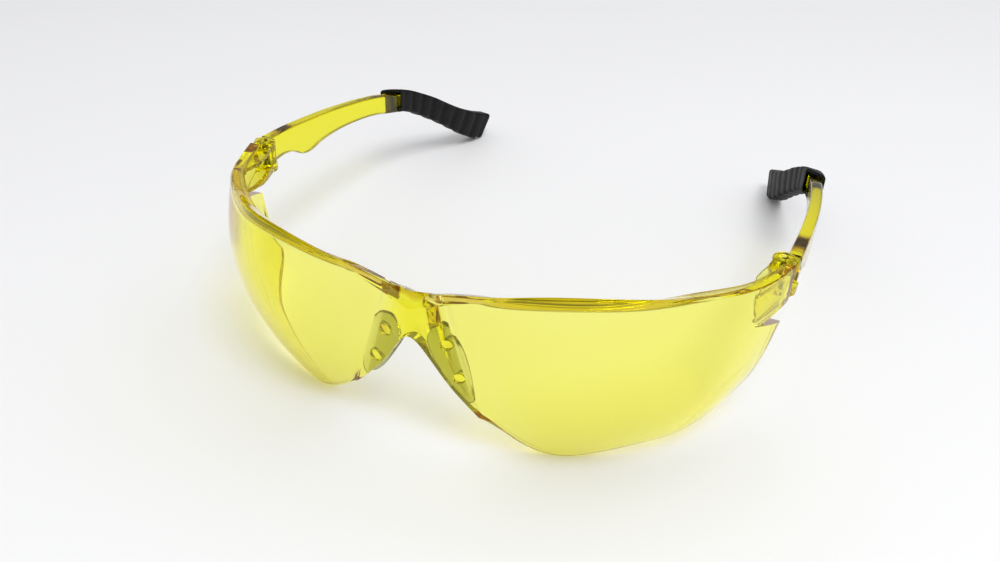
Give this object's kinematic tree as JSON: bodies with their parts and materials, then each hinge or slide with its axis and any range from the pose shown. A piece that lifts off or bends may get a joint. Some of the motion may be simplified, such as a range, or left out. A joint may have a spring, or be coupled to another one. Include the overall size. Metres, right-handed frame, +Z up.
{
  "type": "safety glasses",
  "caption": "Wrap-around safety glasses: one-piece transparent yellow shield, nose pads and folding temples with ribbed soft tips.",
  "frame": {"origin": "on the table, below the middle of the glasses' box", "axes": "+X towards the wearer's left, -Y the way the wearer looks, +Z up; the temples point along +Y"},
  "size_m": [0.1412, 0.1646, 0.0479],
  "materials": {
    "lens": "clear polished polycarbonate, tinted yellow",
    "nose_pad": "clear soft vinyl, slightly frosted",
    "end_piece": "clear polished polycarbonate, tinted yellow",
    "temple": "translucent yellow plastic, polished",
    "tip": "satin black soft rubber, ribbed",
    "pin": "dark plain steel"
  },
  "bodies": {
    "front": {"lens": "lens", "nose_pad_left": "nose_pad", "nose_pad_right": "nose_pad", "hinge_bracket_left": "end_piece", "hinge_bracket_right": "end_piece", "hinge_pin_left": "pin", "hinge_pin_right": "pin"},
    "temple_left": {"temple_left": "temple", "temple_tip_left": "tip"},
    "temple_right": {"temple_right": "temple", "temple_tip_right": "tip"}
  },
  "joints": [
    {"name": "left_hinge", "type": "hinge", "parent": "front", "child": "temple_left", "pos_m": [0.066, -0.03475, 0.0344], "axis": [0, 0, 1], "range_deg": [0, 90]},
    {"name": "right_hinge", "type": "hinge", "parent": "front", "child": "temple_right", "pos_m": [-0.066, -0.03475, 0.0344], "axis": [0, 0, -1], "range_deg": [0, 80]}
  ]
}
